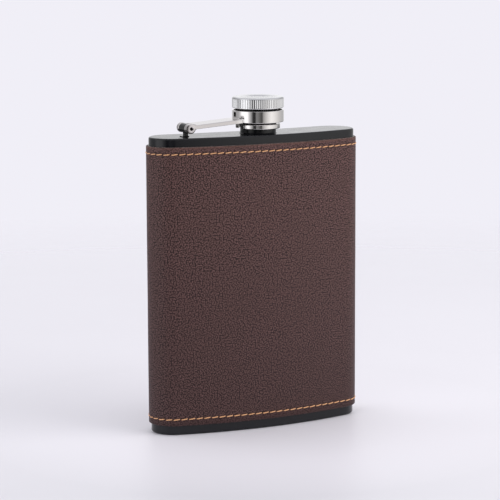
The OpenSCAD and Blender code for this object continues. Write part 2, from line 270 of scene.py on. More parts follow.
class Section:
    """The kidney outline, walked anticlockwise by arc length from the middle of the back."""
    lengths = [abs(b - a) * ARC_R[k] for k, a, b in ARCS]
    ends = np.concatenate([[0], np.cumsum(lengths)])
    length = float(ends[-1])

    @classmethod
    def at(cls, s, g):
        """Points and outward normals at arc length s, and g outside the steel body."""
        s, g = np.broadcast_arrays(np.mod(np.asarray(s, float), cls.length), np.asarray(g, float))
        xy, nn = np.zeros(s.shape + (2,)), np.zeros(s.shape + (2,))
        for k, (kind, a, b) in enumerate(ARCS):
            m = (s >= cls.ends[k]) & (s <= cls.ends[k + 1])
            t = a + (b - a) * (s[m] - cls.ends[k]) / cls.lengths[k]
            c, sn = np.cos(t), np.sin(t)
            if kind == "back":
                normal, base = np.stack([-sn, c], -1), np.array([0, SECTION_Y + BACK_C])
                xy[m] = base - (BACK_R - g[m])[..., None] * normal
            elif kind == "front":
                normal, base = np.stack([sn, -c], -1), np.array([0, SECTION_Y + FRONT_C])
                xy[m] = base + (FRONT_R + g[m])[..., None] * normal
            else:
                sign = -1 if kind == "left" else 1
                normal = np.stack([sign * c, sn], -1)
                xy[m] = np.array([sign * SIDE_X, SECTION_Y]) + (SIDE_R + g[m])[..., None] * normal
            nn[m] = normal
        return xy, nn


def loft(profile, columns, segments=6, closed=True):
    """A profile of (growth, height, corner radius) drawn round the section, outside on its right."""
    p, n = rounded(profile, segments, closed)
    s = (np.arange(columns) + 0.5) * Section.length / columns
    xy, out = Section.at(s[None, :], p[:, :1])
    tall = xy.shape[:2] + (1,)
    points = np.concatenate([xy, np.broadcast_to(p[:, 1:, None], tall)], -1)
    normals = np.concatenate([out * n[:, :1, None], np.broadcast_to(n[:, 1:, None], tall)], -1)
    return points, normals


# ---------------------------------------------------------------- materials
class Nodes:
    """A Principled material with short calls to add and link its nodes."""

    def __init__(self, name, color, rough, metal=0.0, **sockets):
        self.mat = bpy.data.materials.new(name)
        self.mat.use_nodes = True
        self.tree = self.mat.node_tree
        self.bsdf = next(n for n in self.tree.nodes if n.type == "BSDF_PRINCIPLED")
        self.bsdf.inputs["Base Color"].default_value = (*color, 1)
        self.bsdf.inputs["Roughness"].default_value = rough
        self.bsdf.inputs["Metallic"].default_value = metal
        for key, value in sockets.items():
            self.bsdf.inputs[key.replace("_", " ")].default_value = value
        self.coord = self.add("ShaderNodeTexCoord").outputs["Object"]

    def add(self, kind, links=None, **values):
        """A node with its inputs linked, and its settings or input values by name."""
        node = self.tree.nodes.new(kind)
        for key, value in values.items():
            if hasattr(node, key):
                setattr(node, key, value)
            else:
                node.inputs[key.replace("_", " ")].default_value = value
        for key, source in (links or {}).items():
            self.tree.links.new(source, node.inputs[key])
        return node

    def scaled(self, x, y, z):
        node = self.add("ShaderNodeVectorMath", {0: self.coord}, operation="MULTIPLY")
        node.inputs[1].default_value = (x, y, z)
        return node.outputs[0]

    def noise(self, scale, detail=3.0, rough=0.5, vector=None):
        node = self.add("ShaderNodeTexNoise", {"Vector": vector or self.coord})
        node.inputs["Scale"].default_value = scale
        node.inputs["Detail"].default_value = detail
        node.inputs["Roughness"].default_value = rough
        return node.outputs["Fac"]

    def cells(self, scale, random):
        """Distance from the middles of scattered cells, in the flat coordinates of the sheet."""
        node = self.add("ShaderNodeTexVoronoi", {"Vector": self.add("ShaderNodeTexCoord").outputs["UV"]})
        node.voronoi_dimensions = "2D"
        node.inputs["Scale"].default_value = scale
        node.inputs["Randomness"].default_value = random
        return node.outputs["Distance"]

    def split(self, vector=None):
        return self.add("ShaderNodeSeparateXYZ", {0: vector or self.coord}).outputs

    def math(self, op, a, b=0.0):
        node = self.tree.nodes.new("ShaderNodeMath")
        node.operation = op
        for k, v in enumerate((a, b)):
            if isinstance(v, (int, float)):
                node.inputs[k].default_value = v
            else:
                self.tree.links.new(v, node.inputs[k])
        return node.outputs[0]

    def ramp(self, value, lo, hi, to_lo=0.0, to_hi=1.0):
        node = self.tree.nodes.new("ShaderNodeMapRange")
        self.tree.links.new(value, node.inputs["Value"])
        for key, v in zip(("From Min", "From Max", "To Min", "To Max"), (lo, hi, to_lo, to_hi)):
            node.inputs[key].default_value = v
        return node.outputs[0]

    def mix(self, factor, a, b):
        """Colour from a to b. Each is a tuple or another node's output."""
        node = self.tree.nodes.new("ShaderNodeMix")
        node.data_type = "RGBA"
        self.tree.links.new(factor, node.inputs[0])
        for k, v in ((6, a), (7, b)):
            if isinstance(v, tuple):
                node.inputs[k].default_value = (*v, 1)
            else:
                self.tree.links.new(v, node.inputs[k])
        return node.outputs[2]

    def color(self, source):
        self.tree.links.new(source, self.bsdf.inputs["Base Color"])

    def rough(self, source):
        self.tree.links.new(source, self.bsdf.inputs["Roughness"])

    def bump(self, height, strength, distance):
        node = self.tree.nodes.new("ShaderNodeBump")
        node.inputs["Strength"].default_value = strength
        node.inputs["Distance"].default_value = distance
        self.tree.links.new(height, node.inputs["Height"])
        self.tree.links.new(node.outputs[0], self.bsdf.inputs["Normal"])


def leather_material():
    m = Nodes("brown_leather", (0.06, 0.035, 0.03), 0.55, Specular_IOR_Level=0.32)
    pebble = m.cells(1600, 0.85)
    crease = m.noise(700, 3, 0.6)
    pores = m.noise(3600, 2, 0.6)
    height = m.math("ADD", m.math("MULTIPLY", pebble, -1.0), m.math("MULTIPLY", pores, 0.5))
    height = m.math("ADD", height, m.math("MULTIPLY", crease, 0.08))
    # pale tips on a dark ground: the grain's own tone, with painted highlight on the tips and painted shade
    # in the pits
    tone = m.math("POWER", m.ramp(height, -0.34, 0.20), 2.5)
    color = m.mix(tone, (0.016, 0.0062, 0.0058), (0.308, 0.157, 0.150))
    # slow changes of dye, then height: the foot's edge, the top's edge rubbed red, and painted shade
    # darkening it downwards
    patch = m.ramp(m.noise(34, 3, 0.55), 0.3, 0.7)
    color = m.mix(m.math("MULTIPLY", patch, 0.18), color, (0.075, 0.040, 0.032))
    z = m.split()[2]
    color = m.mix(m.ramp(z, 0.0075, 0.0050, 0.0, 0.5), color, (0.034, 0.0115, 0.011))
    color = m.mix(m.ramp(z, 0.1218, 0.1230, 0.0, 0.35), color, (0.16, 0.075, 0.058))
    # painted shade: darker from 100 mm down to 15 mm
    color = m.mix(m.ramp(z, 0.100, 0.015, 0.0, 0.36), color, (0.022, 0.009, 0.009))
    # darker along the two stitch rows
    for row in ROW_Z:
        off = m.math("ABSOLUTE", m.math("SUBTRACT", z, row * MM))
        color = m.mix(m.ramp(off, 0.00060, 0.00025, 0.0, 0.75), color, (0.030, 0.009, 0.005))
    m.color(color)
    m.rough(m.ramp(height, -0.5, 0.3, 0.64, 0.46))
    m.bump(height, 0.6, 0.00016)
    return m.mat


def black_material():
    m = Nodes("black_powder_coat", (0.006, 0.0065, 0.008), 0.16, Specular_IOR_Level=0.36)
    peel = m.noise(900, 2, 0.5)
    m.color(m.mix(m.noise(60, 4, 0.6), (0.005, 0.0055, 0.007), (0.009, 0.0095, 0.012)))
    m.rough(m.ramp(m.noise(240, 5, 0.6), 0.3, 0.7, 0.12, 0.20))
    m.bump(peel, 0.05, 0.00002)
    return m.mat


def plastic_material():
    m = Nodes("black_plastic", (0.012, 0.012, 0.013), 0.38, Specular_IOR_Level=0.4)
    m.color(m.mix(m.noise(90, 4, 0.6), (0.010, 0.010, 0.011), (0.017, 0.017, 0.019)))
    m.rough(m.ramp(m.noise(700, 4, 0.6), 0.3, 0.7, 0.32, 0.46))
    m.bump(m.noise(1800, 3, 0.5), 0.08, 0.00002)
    return m.mat


def chrome_material(name, color, rough, shade=None):
    """Polished steel; shade(m) may give masks and the colours painted there, painted shade among them."""
    m = Nodes(name, color, rough, 1.0)
    fine = m.noise(2600, 4, 0.7, m.scaled(1, 1, 0.12))
    wear = m.noise(130, 4, 0.6)
    plain = m.mix(m.math("MULTIPLY", wear, 0.5), color, tuple(0.93 * c for c in color))
    for mask, tone in shade(m) if shade else []:
        plain = m.mix(mask, plain, tone)
    m.color(plain)
    m.rough(m.ramp(m.math("ADD", m.math("MULTIPLY", fine, 0.5), m.math("MULTIPLY", wear, 0.5)),
                   0.35, 0.65, rough * 0.75, rough * 1.5))
    m.bump(fine, 0.03, 0.00001)
    return m.mat


def cap_material():
    """Greyer on the flat top."""
    def shade(m):
        return [(m.ramp(m.split()[2], 0.1415, 0.1420), (0.62, 0.62, 0.635))]
    return chrome_material("polished_steel_cap", (0.82, 0.82, 0.83), 0.09, shade)


def arm_material():
    """Painted shade: darker along the channel, and dark on the lower side of the near ear's rim under the
    rivet's head.
    """
    def shade(m):
        at = m.add("ShaderNodeVectorMath", {0: m.coord}, operation="SUBTRACT")
        at.inputs[1].default_value = tuple((NECK + PIN) * MM)
        x, y, z = m.split(at.outputs[0])
        r = m.math("SQRT", m.math("ADD", m.math("MULTIPLY", x, x), m.math("MULTIPLY", z, z)))
        # painted shade: a dark ring on the near ear's face round the rivet's head, on its lower side
        rim = m.math("MULTIPLY", m.ramp(r, 0.00160, 0.00168), m.ramp(r, 0.00212, 0.00204))
        face = m.ramp(y, -0.0047, -0.0049)
        up = m.math("ADD", m.math("MULTIPLY", x, 0.5), m.math("MULTIPLY", z, 0.86))
        rim_shade = m.math("MULTIPLY", m.math("MULTIPLY", rim, face), m.ramp(up, 0.0012, 0.0006))
        # painted shade: the steel darker along the channel
        channel_shade = m.ramp(x, 0.0228, 0.0208)
        return [(channel_shade, (0.625, 0.595, 0.595)), (rim_shade, (0.10, 0.09, 0.09))]
    return chrome_material("polished_steel_arm", (0.79, 0.765, 0.755), 0.075, shade)


def thread_material():
    m = Nodes("orange_thread", (0.66, 0.27, 0.10), 0.5, Sheen_Weight=0.3, Sheen_Roughness=0.4)
    fibre = m.noise(6500, 3, 0.7)
    m.color(m.mix(m.ramp(fibre, 0.3, 0.7), (0.62, 0.24, 0.09), (0.98, 0.60, 0.32)))
    m.bump(fibre, 0.3, 0.00004)
    return m.mat


def lining_material():
    m = Nodes("felt_backing", (0.05, 0.036, 0.030), 0.9, Sheen_Weight=0.4)
    fibre = m.noise(2400, 5, 0.75, m.scaled(1, 1, 0.35))
    m.color(m.mix(m.ramp(fibre, 0.35, 0.65), (0.035, 0.024, 0.020), (0.085, 0.062, 0.050)))
    m.bump(fibre, 0.6, 0.0001)
    return m.mat


def film_material():
    m = Nodes("adhesive_film", (0.62, 0.58, 0.48), 0.35)
    m.color(m.mix(m.ramp(m.noise(500, 4, 0.6), 0.35, 0.65), (0.52, 0.47, 0.37), (0.68, 0.64, 0.54)))
    m.bump(m.noise(900, 3, 0.5), 0.2, 0.00003)
    return m.mat


def seal_material():
    m = Nodes("soft_seal", (0.78, 0.77, 0.73), 0.42, Subsurface_Weight=0.25, Subsurface_Scale=0.0008)
    m.color(m.mix(m.ramp(m.noise(300, 4, 0.6), 0.35, 0.65), (0.72, 0.70, 0.65), (0.82, 0.81, 0.78)))
    m.rough(m.ramp(m.noise(900, 3, 0.6), 0.3, 0.7, 0.36, 0.5))
    m.bump(m.noise(1500, 3, 0.5), 0.1, 0.00003)
    return m.mat


leather = leather_material()
black = black_material()
plastic = plastic_material()
cap_chrome = cap_material()
arm_chrome = arm_material()
thread = thread_material()
# painted shade: near-black steel for the rivet's bore
bore_shade_steel = chrome_material("bore_painted_shade", (0.055, 0.05, 0.048), 0.45)
lining = lining_material()
film = film_material()
seal = seal_material()
# the CAD nodes that stay as they are
for node_name, material in (("body_tube", black), ("wrap_lining", lining), ("adhesive_film", film)):
    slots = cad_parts[node_name].data.materials
    if not len(slots):
        slots.append(material)
    for k in range(len(slots)):
        slots[k] = material


# ---------------------------------------------------------------- end pans
COLUMNS = 420
SKIRT, LIP = 5.2, 3.0
OUTSIDE = [(0, SKIRT, 0), (0, 0, 0.8), (-LIP, 0, 0)]
INSIDE = [(-LIP, WALL, 0), (-WALL, WALL, 0.3), (-WALL, SKIRT, 0)]


def end_pan(name, node, top, hole_r=0.0):
    """A pressed pan, walked from the skirt to the flat outside and back inside. hole_r is the neck's."""
    def side(profile, segments):
        if not top:
            points, normals = loft(profile[::-1], COLUMNS, segments, False)
            return points[::-1], normals[::-1]
        return loft([(g, BODY_H - z, r) for g, z, r in profile], COLUMNS, segments, False)
    (outer_p, outer_n), (inner_p, inner_n) = side(OUTSIDE, 7), side(INSIDE, 5)
    rows_p, rows_n = [outer_p], [outer_n]
    if hole_r:
        circle = NECK[:2] + hole_r * unit(outer_p[-1, :, :2] - NECK[:2])
        for z, up in ((BODY_H, 1.0), (BODY_H - WALL, -1.0)):
            rows_p.append(np.concatenate([circle, np.full((COLUMNS, 1), z)], 1)[None])
            rows_n.append(np.tile([0, 0, up], (1, COLUMNS, 1)))
    p = np.concatenate(rows_p + [inner_p])
    n = np.concatenate(rows_n + [inner_n]).reshape(-1, 3)
    faces = [list(f) for f in grid_faces(len(p), COLUMNS, True, True)]
    p = p.reshape(-1, 3)
    if not hole_r:
        # the two flats are single faces, so the strip between them is left out
        flat = len(outer_p) - 1
        faces = [f for k, f in enumerate(faces) if k // COLUMNS != flat]
        faces.append([flat * COLUMNS + k for k in range(COLUMNS)])
        faces.append([(flat + 1) * COLUMNS + k for k in range(COLUMNS - 1, -1, -1)])
    for f in faces:
        if np.dot(way(p, f), n[f].mean(0)) < 0:
            f.reverse()
    piece(name, p, faces, black, "flask", node, n)


end_pan("top_end", "top_pan", True, NECK_R + 0.02)
end_pan("bottom_end", "bottom_pan", False)

# ---------------------------------------------------------------- leather wrap
L = Section.length
N_STITCH = 2 * int(round(L / PITCH / 2))
STEP = L / N_STITCH
SEAM_HALF, SEAM_ROW = 0.15, 2.75            # half the seam's gap, and its stitch rows, from its middle
EDGE_R = 0.32


def spread(lo, hi, step):
    return np.linspace(lo, hi, max(2, int(round((hi - lo) / step)) + 1))


def wrap_surface(s, z):
    """Height of the leather's face over the section, at arc length s from the back seam and height z."""
    middle = np.minimum(s, L - s)
    edge = np.minimum(np.minimum(z - WRAP_LOW, WRAP_HIGH - z), middle - SEAM_HALF)
    inward = np.clip(EDGE_R - edge, 0, EDGE_R)
    h = WRAP_T - (EDGE_R - np.sqrt(EDGE_R ** 2 - inward ** 2))
    # each stitch row lies in a groove, with a dent at every hole and a swelling beside every stitch
    for row in ROW_Z:
        dz = z - row
        h = h - 0.09 * np.exp(-(dz / 0.55) ** 2)
        along = (np.mod(s / STEP, 1.0) - 0.5) * STEP
        hole = np.abs(np.abs(along) - 0.5 * STEP)
        h = h - 0.2 * np.exp(-(hole ** 2 + dz ** 2) / 0.26 ** 2)
        h = h + 0.035 * np.cos(2 * math.pi * along / STEP) * np.exp(-((np.abs(dz) - 1.2) / 0.7) ** 2)
    h = h - 0.08 * np.exp(-((middle - SEAM_ROW) / 0.45) ** 2)
    ripple = np.sin(0.21 * s + 1.3) * np.sin(0.13 * z + 0.4) + 0.6 * np.sin(0.083 * s - 0.11 * z + 2.0)
    return h + 0.018 * ripple * np.clip(edge / 3, 0, 1)


def build_wrap():
    # the mesh is finer round the edges and the stitch rows
    turn = EDGE_R * (1 - np.cos(np.linspace(0, math.pi / 2, 7)))
    near = np.concatenate([turn, spread(0.5, HEM - 0.9, 0.3), spread(HEM - 0.75, HEM + 0.75, 0.15),
                           spread(HEM + 0.9, HEM + 2.4, 0.3)])
    middle = spread(WRAP_LOW + HEM + 3.0, WRAP_HIGH - HEM - 3.0, 1.2)
    z = np.unique(np.concatenate([WRAP_LOW + near, middle, WRAP_HIGH - near]).round(5))
    s = STEP / 12 * np.arange(1, 12 * N_STITCH)
    s = s[(s > 0.75) & (s < L - 0.75)]
    s = np.unique(np.concatenate([SEAM_HALF + turn, [0.55], s, [L - 0.55], L - SEAM_HALF - turn]).round(5))
    S, Z = np.meshgrid(s, z, indexing="xy")
    xy, out = Section.at(S, 0.0)
    face = np.concatenate([xy + out * wrap_surface(S, Z)[..., None], Z[..., None]], -1)
    rows, cols = face.shape[:2]
    normals = grid_normals(face)
    if np.dot(normals[rows // 2, cols // 2, :2], out[rows // 2, cols // 2]) < 0:
        normals = -normals
    points, nn = [face.reshape(-1, 3)], [normals.reshape(-1, 3)]
    faces = [list(f) for f in grid_faces(rows, cols)]
    # the inside, two rows
    xy, out = Section.at(s, 0.0)
    for height in (z[0], z[-1]):
        points.append(np.concatenate([xy + out * (WRAP_T - LEATHER_T), np.full((cols, 1), height)], 1))
        nn.append(np.concatenate([-out, np.zeros((cols, 1))], 1))
    lo, hi, top = rows * cols, (rows + 1) * cols, (rows - 1) * cols
    for j in range(cols - 1):
        faces.append([lo + j, hi + j, hi + j + 1, lo + j + 1])
        faces.append([j, lo + j, lo + j + 1, j + 1])
        faces.append([top + j, top + j + 1, hi + j + 1, hi + j])
    faces.append([i * cols for i in range(rows)] + [hi, lo])
    faces.append([i * cols + cols - 1 for i in range(rows - 1, -1, -1)] + [lo + cols - 1, hi + cols - 1])
    p, n = np.concatenate(points), np.concatenate(nn)
    if np.dot(way(p, faces[0]), n[faces[0][0]]) < 0:
        faces = [f[::-1] for f in faces]
    skin = piece("leather_skin", p, faces, leather, "flask", "leather_wrap", n)
    # flat coordinates for the grain: metres along the sheet and up it
    along = np.concatenate([S.ravel(), s, s])
    sheet = skin.data.uv_layers.new(name="sheet")
    index = np.empty(len(skin.data.loops), dtype=np.int32)
    skin.data.loops.foreach_get("vertex_index", index)
    sheet.data.foreach_set("uv", np.stack([along[index], p[index, 2]], -1).ravel() * MM)


build_wrap()


# ---------------------------------------------------------------- stitches
def stitch_points(centre_s, centre_z, upright=False):
    """Two-ply stitches: a row of short twisted threads that dip into their holes at both ends."""
    length, lean, radius, twist = 3.0, 0.12, 0.225, 1.9
    steps, sides = 19, 10
    t = np.linspace(-1, 1, steps)
    a = np.linspace(0, 2 * math.pi, sides, endpoint=False)
    k = len(centre_s)
    cs, cz, T, A = [np.broadcast_to(v, (k, steps, sides)) for v in
                    (centre_s[:, None, None], centre_z[:, None, None], t[None, :, None], a[None, None, :])]
    x = T * length / 2
    taper = np.sqrt(np.clip(1 - np.abs(T) ** 6, 0, 1)) * 0.85 + 0.15
    ply = 1 + 0.17 * np.cos(2 * (A - x * 2 * math.pi / twist + cs * 1.7))
    r = radius * taper * ply
    lift = 0.17 - 0.42 * np.abs(T) ** 4
    side, up = r * np.cos(A) + lean * x, r * np.sin(A) * 0.85 + lift
    ds, dz = (side, x) if upright else (x, side)
    xy, out = Section.at(cs + ds, 0.0)
    base = WRAP_T - 0.09                    # the groove's floor
    p = np.concatenate([xy + out * (base + up)[..., None], (cz + dz)[..., None]], -1).reshape(-1, 3)
    faces = []
    for start in range(0, k * steps * sides, steps * sides):
        faces += [list(f) for f in grid_faces(steps, sides, False, True, start)]
        faces.append([start + v for v in range(sides - 1, -1, -1)])
        faces.append([start + (steps - 1) * sides + v for v in range(sides)])
    f = faces[steps // 2 * sides]
    if np.dot(way(p, f), p[f[0]] - p[:steps * sides].mean(0)) < 0:
        faces = [g[::-1] for g in faces]
    return p, faces


def hem_thread(name, node, row):
    s = (np.arange(N_STITCH) + 0.5) * STEP
    s = s[(s > 1.2) & (s < L - 1.2)]
    wobble = 0.05 * np.sin(s * 12.9898 + row)
    p, f = stitch_points(s, row + wobble)
    piece(name, p, f, thread, "flask", node)


def seam_thread():
    low, high = ROW_Z
    count = int((high - low) // PITCH) - 1
    z = low + (high - low) * (np.arange(count) + 1) / (count + 1)
    rows = [stitch_points(np.full(count, s), z, True) for s in (SEAM_ROW, L - SEAM_ROW)]
    p, f, _ = join(*[(points, faces, points) for points, faces in rows])
    piece("seam_thread", p, f, thread, "flask", "seam_stitching")


hem_thread("top_thread", "top_stitching", ROW_Z[1])
hem_thread("bottom_thread", "bottom_stitching", ROW_Z[0])
seam_thread()


# ---------------------------------------------------------------- neck and hinge post
def build_spout():
    bore, core, top = 6.0, 6.4, 9.6
    neck = [(bore, -1.1, 0.1), (9.3, -1.1, 0.15), (9.3, -0.5, 0.05), (NECK_R, -0.5, 0.05),
            (NECK_R, 2.3, 0.2), (core, 2.3, 0.2), (core, top, 0.2), (bore, top, 0.15)]
    weld = [(7.35, 0.02, 0.01), (8.1, 0.02, 0.02), (NECK_R + 0.02, 0.42, 0.3), (7.35, 0.45, 0.01)]
    ridge = helix_ridge(6.35, 6.75, 3.5, THREAD_PITCH, 2.0)
    p, f, n = join(lathe(neck, 144, 4), ridge, lathe(weld, 144, 3))
    piece("spout", p + NECK, f, black, "flask", "neck", n)


build_spout()


def post_field(x, y, z):
    u, w = x - PIN[0], z - PIN[2]
    v = y - sum(BARREL) / 2
    barrel = both(np.hypot(u, w) - BARREL_R, slab(y, *BARREL), 0.15)
    stem = both(both(np.abs(u) - 0.7, np.abs(v) - 1.3, 0.2), slab(z, 0.0, PIN[2]))
    foot = both(both(np.abs(u + 0.5) - 1.6, np.abs(v) - 1.7, 0.3), slab(z, 0.0, 0.3), 0.1)
    solid = either(either(barrel, stem, 0.3), foot, 0.3)
    solid = np.maximum(solid, -z)
    return both(solid, BARREL_HOLE_R - np.hypot(u, w), 0.08)


p, f, n = field_mesh(post_field, (PIN[0] - 2.5, -2.4, -0.3), (PIN[0] + 2.3, 3.4, 5.9), 0.1)
piece("hinge_barrel", p + NECK, f, black, "flask", "hinge_post", n)


# ---------------------------------------------------------------- captive arm
def arm_field(x, y, z):
    r = np.hypot(x, y)
    # the drawn cup
    inside = RING_R - SHEET
    cup = both(r - RING_R, RING_LOW - z, 0.25)
    hollow = both(r - inside, RING_LOW + SHEET - z, 0.15)
    # the channel, in axes that start at the pin and follow the arm's slope
    u, w = x - PIN[0], z - PIN[2]
    along = u * math.cos(SLOPE) + w * math.sin(SLOPE)
    rise = w * math.cos(SLOPE) - u * math.sin(SLOPE)
    half = EAR_OUT + (ARM_OUT - EAR_OUT) * np.clip((along - 6) / 18, 0, 1.2)
    outer = both(np.abs(y) - half, rise - ARM_TOP, 0.5)
    inner = both(np.abs(y) - (half - SHEET), rise - (ARM_TOP - SHEET), 0.2)
    web_gap = both(both(np.abs(y) - (EAR_OUT - SHEET), along - 3.0, 0.4), np.abs(rise) - 3)
    channel = both(outer, -inner, 0.1)
    channel = both(channel, (ARM_TOP - ARM_SIDE) - rise, 0.12)
    channel = both(channel, -web_gap, 0.12)
    channel = both(channel, -along)
    # each side narrows in a curve to its boss on the pin
    eye = np.hypot(along, rise)
    strip = both(slab(rise, ARM_TOP - ARM_SIDE, ARM_TOP), -along)
    side = both(either(eye - BOSS_R, strip, 0.9), slab(np.abs(y), EAR_OUT - SHEET, EAR_OUT), 0.3)
    bosses = np.minimum(slab(y, -EAR_OUT, BARREL[0] - 0.12), slab(y, BARREL[1] + 0.12, EAR_OUT))
    boss = both(eye - BOSS_R, bosses, 0.45)
    channel = either(either(channel, both(side, along - 4.5)), boss, 0.15)
    channel = both(both(channel, inside + 0.1 - r), x)
    wall = both(both(cup, -hollow, 0.1), z - RING_HIGH, 0.15)
    solid = either(wall, channel, 0.15)
    # the hole in the cup's floor, and the cup cleared of the channel's end
    solid = both(solid, RING_HOLE_R - r, 0.15)
    solid = both(solid, -hollow, 0.1)
    # relief notches beside the arm, each ending in a small round hole, and a window over its middle
    left = x + 5.0
    notch = both(both(slab(np.abs(y), 3.3, 5.6), slab(z, 6.8, 7.08), 0.08), left)
    dots = both(np.hypot(np.abs(y) - 5.6, z - 6.94) - 0.24, left)
    window = both(both(np.abs(y) - 1.0, slab(z, 7.2, 9.35), 0.12), left)
    solid = both(solid, -either(notch, dots), 0.06)
    solid = both(solid, -window, 0.06)
    return both(solid, ARM_HOLE_R - eye, 0.08)


cell = 0.13
p, f, n = field_mesh(arm_field, (PIN[0] - 2.5, -11.5, -0.1), (11.5, 11.5, 10.4), cell)
piece("captive_arm", p + NECK, f, arm_chrome, "arm", "arm_bracket", n)


def build_rivet():
    """Tubular rivet along Y, with its bore painted near black as shade."""
    bore, shank, head = 0.65, 1.2, EAR_OUT + 0.02
    profile = [(bore, -5.55, 0.12), (0.95, -5.72, 0.2), (1.58, -5.66, 0.2), (1.58, -head, 0.1),
               (shank, -head, 0.02), (shank, head, 0.02), (1.7, head, 0.1), (1.7, 5.6, 0.25),
               (1.0, 5.72, 0.2), (bore, 5.55, 0.12)]
    p, f, n = lathe(profile, 72, 5)
    lay = np.array([[1, 0, 0], [0, 0, -1], [0, 1, 0]], float)
    rivet = piece("hinge_rivet", p @ lay + NECK + PIN, f, arm_chrome, "arm", "hinge_pin", n @ lay)
    rivet.data.materials.append(bore_shade_steel)
    x, _, z = (NECK + PIN) * MM
    # the bore's faces take the painted shade
    for poly in rivet.data.polygons:
        if math.hypot(poly.center.x - x, poly.center.z - z) < (bore + 0.03) * MM:
            poly.material_index = 1


build_rivet()


# ---------------------------------------------------------------- cap
def build_cap():
    # five columns to a knurl, the second of them in the groove between two knurls
    offsets = [-0.2, 0.0, 0.2, 0.4, 0.6]
    x = np.tile(offsets, KNURLS)
    columns = len(x)
    a = 2 * math.pi * (np.repeat(np.arange(KNURLS), len(offsets)) + x) / KNURLS
    groove = (x == 0).astype(float)
    skirt_r, skirt_z = 9.9, 11.09
    lower, _ = rounded([(skirt_r, skirt_z, 0.03), (skirt_r, CAP_LOW, 0.1), (CAP_R, CAP_LOW, 0.3),
                        (CAP_R, 13.0, 0)], 4, False)
    wall = np.stack([np.full(9, CAP_R), np.linspace(11.25, 14.6, 9)], 1)
    top, _ = rounded([(CAP_R, 14.62, 0), (CAP_R, CAP_HIGH, 0.85), (0.02, CAP_HIGH + 0.03, 0)], 8, False)
    inside = np.array([(0.02, 14.89), (skirt_r, 14.89), (10.25, 14.6), (10.25, 11.3), (10.25, 11.12)])
    rows = np.concatenate([[(skirt_r, skirt_z)], lower[1:-1], wall, top[1:], inside])
    r, z = rows[:, 0], rows[:, 1]
    outer = np.arange(len(rows)) < len(rows) - len(inside)
    depth = 0.11 * np.clip((z - 11.1) / 0.12, 0, 1) * np.clip((15.08 - z) / 0.3, 0, 1) * outer * (r > 10.3)
    rr = np.maximum(r[:, None] - depth[:, None] * groove[None, :], 1e-3)
    p = np.stack([rr * np.cos(a), rr * np.sin(a), z[:, None] + 0 * a[None, :]], -1).reshape(-1, 3)
    faces = grid_faces(len(rows), columns, True, True)
    first = faces[len(rows) // 2 * columns]
    if np.dot(way(p, first), p[first[0]] * (1, 1, 0)) < 0:
        faces = faces[:, ::-1]
    cap = piece("knurled_cap", p + NECK, faces, cap_chrome, "cap", "cap_shell")
    # the knurls keep crisp edges
    low, high = (NECK[2] + 11.2) * MM, (NECK[2] + 14.98) * MM
    for poly in cap.data.polygons:
        off = math.hypot(poly.center.x - NECK[0] * MM, poly.center.y - NECK[1] * MM)
        poly.use_smooth = not (low < poly.center.z < high and off > (CAP_R - 0.5) * MM)


build_cap()


def build_insert():
    bore, sleeve, groove = 7.3, 7.8, 7.62
    profile = [(bore, 2.45, 0.1), (sleeve, 2.45, 0.12), (sleeve, 3.0, 0.04), (groove, 3.0, 0.02),
               (groove, 3.7, 0.02), (sleeve, 3.7, 0.04), (sleeve, 11.1, 0.1), (10.1, 11.1, 0.05),
               (10.1, 11.7, 0.15), (0.02, 11.7, 0), (0.02, 11.1, 0), (bore, 11.1, 0.2)]
    p, f, n = join(lathe(profile, 160, 4), helix_ridge(7.35, 7.1, 3.4, THREAD_PITCH, 2.6))
    piece("screw_insert", p + NECK, f, plastic, "cap", "cap_insert", n)


build_insert()


def build_clip():
    """The split ring: a tube of rounded section, open on the hinge's side."""
    low, high, inner_r, outer_r = 2.1, 4.2, 7.9, 9.55
    hollow_r, hollow_z, hollow_w, hollow_h = 8.95, 2.72, 0.34, 0.5
    outside, out_n = rounded([(outer_r, low, 0.4), (outer_r, high, 0.4), (inner_r, high, 0.4),
                              (inner_r, low, 0.4)], 5)
    t = np.arctan2(outside[:, 1] - hollow_z, outside[:, 0] - hollow_r)
    inside = np.stack([hollow_r + hollow_w * np.cos(t), hollow_z + hollow_h * np.sin(t)], 1)
    in_n = -np.stack([np.cos(t), np.sin(t)], 1)
    half = math.radians(24)
    a = np.linspace(math.pi + half, 3 * math.pi - half, 121)[:, None]
    parts = []
    for loop, loop_n in ((outside, out_n), (inside, in_n)):
        p = np.stack([loop[:, 0] * np.cos(a), loop[:, 0] * np.sin(a), loop[:, 1] + 0 * a], -1)
        n = np.stack([loop_n[:, 0] * np.cos(a), loop_n[:, 0] * np.sin(a), loop_n[:, 1] + 0 * a], -1)
        parts.append((p.reshape(-1, 3), grid_faces(len(a), len(loop), False, True), n.reshape(-1, 3)))
    # the two ends
    count = len(outside)
    for k, sign in ((0, -1), (len(a) - 1, 1)):
        rows = slice(k * count, (k + 1) * count)
        face = np.concatenate([parts[0][0][rows], parts[1][0][rows]])
        out = sign * np.array([-math.sin(a[k, 0]), math.cos(a[k, 0]), 0])
        parts.append((face, grid_faces(2, count, False, True), np.tile(out, (len(face), 1))))
    turned = [(p, f if np.dot(way(p, f[0]), n[f[0][0]]) > 0 else f[:, ::-1], n) for p, f, n in parts]
    p, f, n = join(*turned)
    piece("split_ring", p + NECK, f, arm_chrome, "cap", "retaining_ring", n)


build_clip()


def build_seal():
    low, high, edge = 9.68, 11.08, 7.0
    profile = [(0.02, low, 0), (4.3, low, 0.1), (4.6, 9.86, 0.15), (5.3, 9.86, 0.15), (5.6, low, 0.1),
               (edge, low, 0.3), (edge, high, 0.2), (0.02, high, 0)]
    p, f, n = lathe(profile, 120, 4)
    piece("seal_disc", p + NECK, f, seal, "cap", "cap_seal", n)


build_seal()


